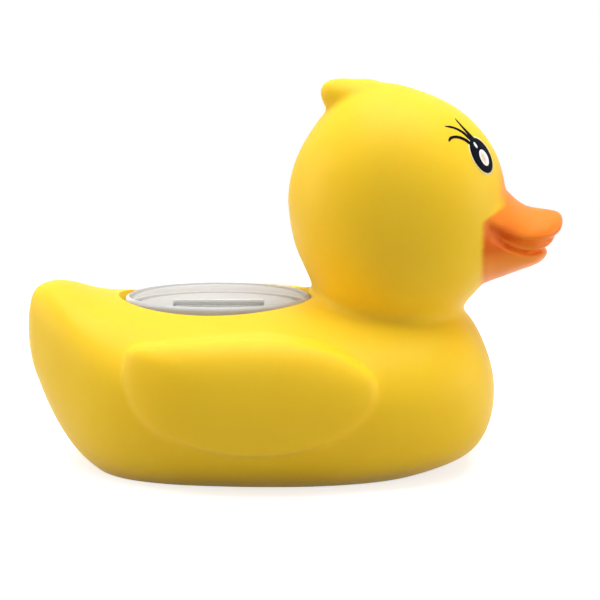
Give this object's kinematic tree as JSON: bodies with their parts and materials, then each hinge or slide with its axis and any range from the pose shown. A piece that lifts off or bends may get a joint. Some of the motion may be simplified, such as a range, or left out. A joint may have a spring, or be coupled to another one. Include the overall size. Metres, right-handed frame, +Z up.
{
  "type": "baby bath thermometer",
  "caption": "Floating duck bath thermometer: hollow vinyl duck with a sealed oval display capsule in its back and a probe in its base.",
  "frame": {"origin": "on the floor, in the middle of the duck's length and width", "axes": "+X the way the duck looks, +Y its left side, +Z up"},
  "size_m": [0.1316, 0.0912, 0.0945],
  "materials": {
    "yellow_vinyl": "satin",
    "clear_plastic": "gloss",
    "silver_plastic": "satin",
    "white_plastic": "satin",
    "grey_rubber": "matte",
    "display_glass": "gloss",
    "board_green": "satin",
    "black_resin": "satin",
    "red_lamp": "gloss",
    "steel": "satin"
  },
  "bodies": {
    "root": {"duck_shell": "yellow_vinyl", "display_lens": "clear_plastic", "lens_seal": "grey_rubber", "display_bezel": "silver_plastic", "upper_case": "white_plastic", "display_glass": "display_glass", "display_frame": "white_plastic", "contact_strip_left": "grey_rubber", "contact_strip_right": "grey_rubber", "circuit_board": "board_green", "controller_chip": "black_resin", "timing_crystal": "steel", "alarm_lamp": "red_lamp", "case_seal": "grey_rubber", "lower_case": "white_plastic", "case_screw_1": "steel", "case_screw_2": "steel", "case_screw_3": "steel", "button_cell_lower": "steel", "button_cell_upper": "steel", "cell_contact_minus": "steel", "cell_contact_plus": "steel", "battery_cover": "white_plastic", "cover_seal": "grey_rubber", "temperature_probe": "steel", "thermistor": "black_resin", "water_pin_left": "steel", "water_pin_right": "steel"}
  },
  "joints": []
}
